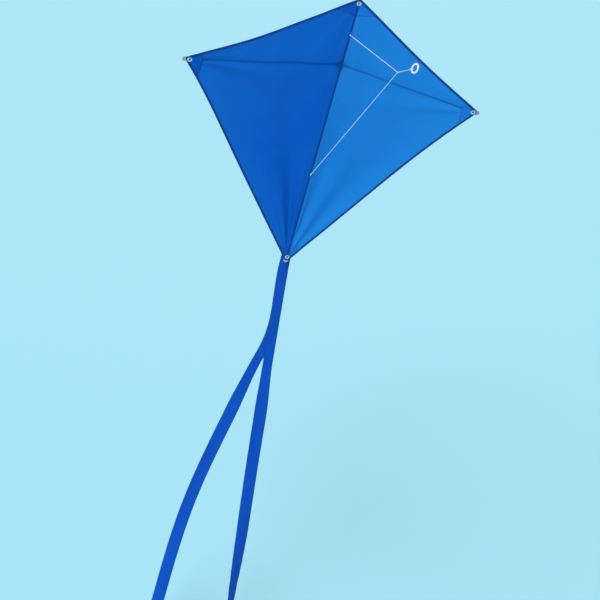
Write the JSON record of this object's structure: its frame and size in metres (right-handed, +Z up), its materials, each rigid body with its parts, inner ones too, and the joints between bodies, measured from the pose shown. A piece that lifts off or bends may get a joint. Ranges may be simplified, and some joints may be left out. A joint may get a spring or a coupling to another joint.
{
  "type": "diamond kite",
  "caption": "Diamond kite with a two-tone blue sail, spine and spars behind it, a bridle with a tow ring, and long ribbon tails.",
  "frame": {"origin": "on the sail's keel line where the spars cross the spine, in the middle of the cloth's thickness", "axes": "+Z up the spine to the nose, -Y out of the front of the sail, where the bridle is, +X towards the wing on the right seen from the front"},
  "size_m": [0.7274, 0.2275, 1.9221],
  "materials": {
    "cloth_deep_blue": "thin woven polyester",
    "cloth_light_blue": "thin woven polyester",
    "binding_navy": "folded polyester tape",
    "patch_blue": "doubled polyester",
    "eyelet_metal": "bright",
    "cap_clear": "cloudy clear vinyl",
    "rod_fibreglass": "satin fibreglass",
    "connector_black": "moulded",
    "cord_white": "braided",
    "ring_white": "moulded",
    "ribbon_blue": "thin woven polyester"
  },
  "bodies": {
    "kite": {"sail_left": "cloth_deep_blue", "sail_right": "cloth_light_blue", "hem_upper_left": "binding_navy", "hem_upper_right": "binding_navy", "hem_lower_left": "binding_navy", "hem_lower_right": "binding_navy", "seam_tape": "binding_navy", "patch_nose": "patch_blue", "patch_tail": "patch_blue", "patch_left": "patch_blue", "patch_right": "patch_blue", "tie_patch_upper": "binding_navy", "tie_patch_lower": "binding_navy", "eyelet_nose": "eyelet_metal", "eyelet_tail": "eyelet_metal", "eyelet_left": "eyelet_metal", "eyelet_right": "eyelet_metal", "washer_nose": "eyelet_metal", "washer_tail": "eyelet_metal", "washer_left": "eyelet_metal", "washer_right": "eyelet_metal", "cap_nose": "cap_clear", "cap_tail": "cap_clear", "cap_left": "cap_clear", "cap_right": "cap_clear", "spine_rod": "rod_fibreglass", "spar_left": "rod_fibreglass", "spar_right": "rod_fibreglass", "centre_connector": "connector_black", "bridle_tie_upper": "cord_white", "bridle_tie_lower": "cord_white", "tail_strap": "patch_blue", "tail_head": "ribbon_blue"},
    "bridle": {"bridle_leg_upper": "cord_white", "bridle_leg_lower": "cord_white", "tow_knot": "cord_white"},
    "lead": {"lead_line": "cord_white", "lead_loop": "cord_white"},
    "ring": {"tow_ring": "ring_white"},
    "tails": {"ribbon_left_upper": "ribbon_blue", "ribbon_right_upper": "ribbon_blue"},
    "tail_left": {"ribbon_left_lower": "ribbon_blue"},
    "tail_right": {"ribbon_right_lower": "ribbon_blue"}
  },
  "joints": [
    {"name": "bridle_swing", "type": "hinge", "parent": "kite", "child": "bridle", "pos_m": [0, -0.00325, 0], "axis": [0, 0, 1], "range_deg": [-112, 48]},
    {"name": "lead_swing", "type": "hinge", "parent": "bridle", "child": "lead", "pos_m": [0.0932, -0.1499, 0.07], "axis": [-0.8492, -0.5281, 0], "range_deg": [-120, 40]},
    {"name": "ring_swing", "type": "hinge", "parent": "lead", "child": "ring", "pos_m": [0.11327, -0.18217, 0.09696], "axis": [0.0412, 0.6556, 0.754], "range_deg": [-75, 75]},
    {"name": "tails_swing", "type": "hinge", "parent": "kite", "child": "tails", "pos_m": [0, 0.01094, -0.546], "axis": [1, 0, 0], "range_deg": [-80, 80]},
    {"name": "tail_left_swing", "type": "hinge", "parent": "tails", "child": "tail_left", "pos_m": [0, 0.01144, -0.84695], "axis": [1, 0, 0], "range_deg": [-80, 80]},
    {"name": "tail_right_swing", "type": "hinge", "parent": "tails", "child": "tail_right", "pos_m": [0, 0.01044, -0.84695], "axis": [1, 0, 0], "range_deg": [-80, 80]}
  ]
}
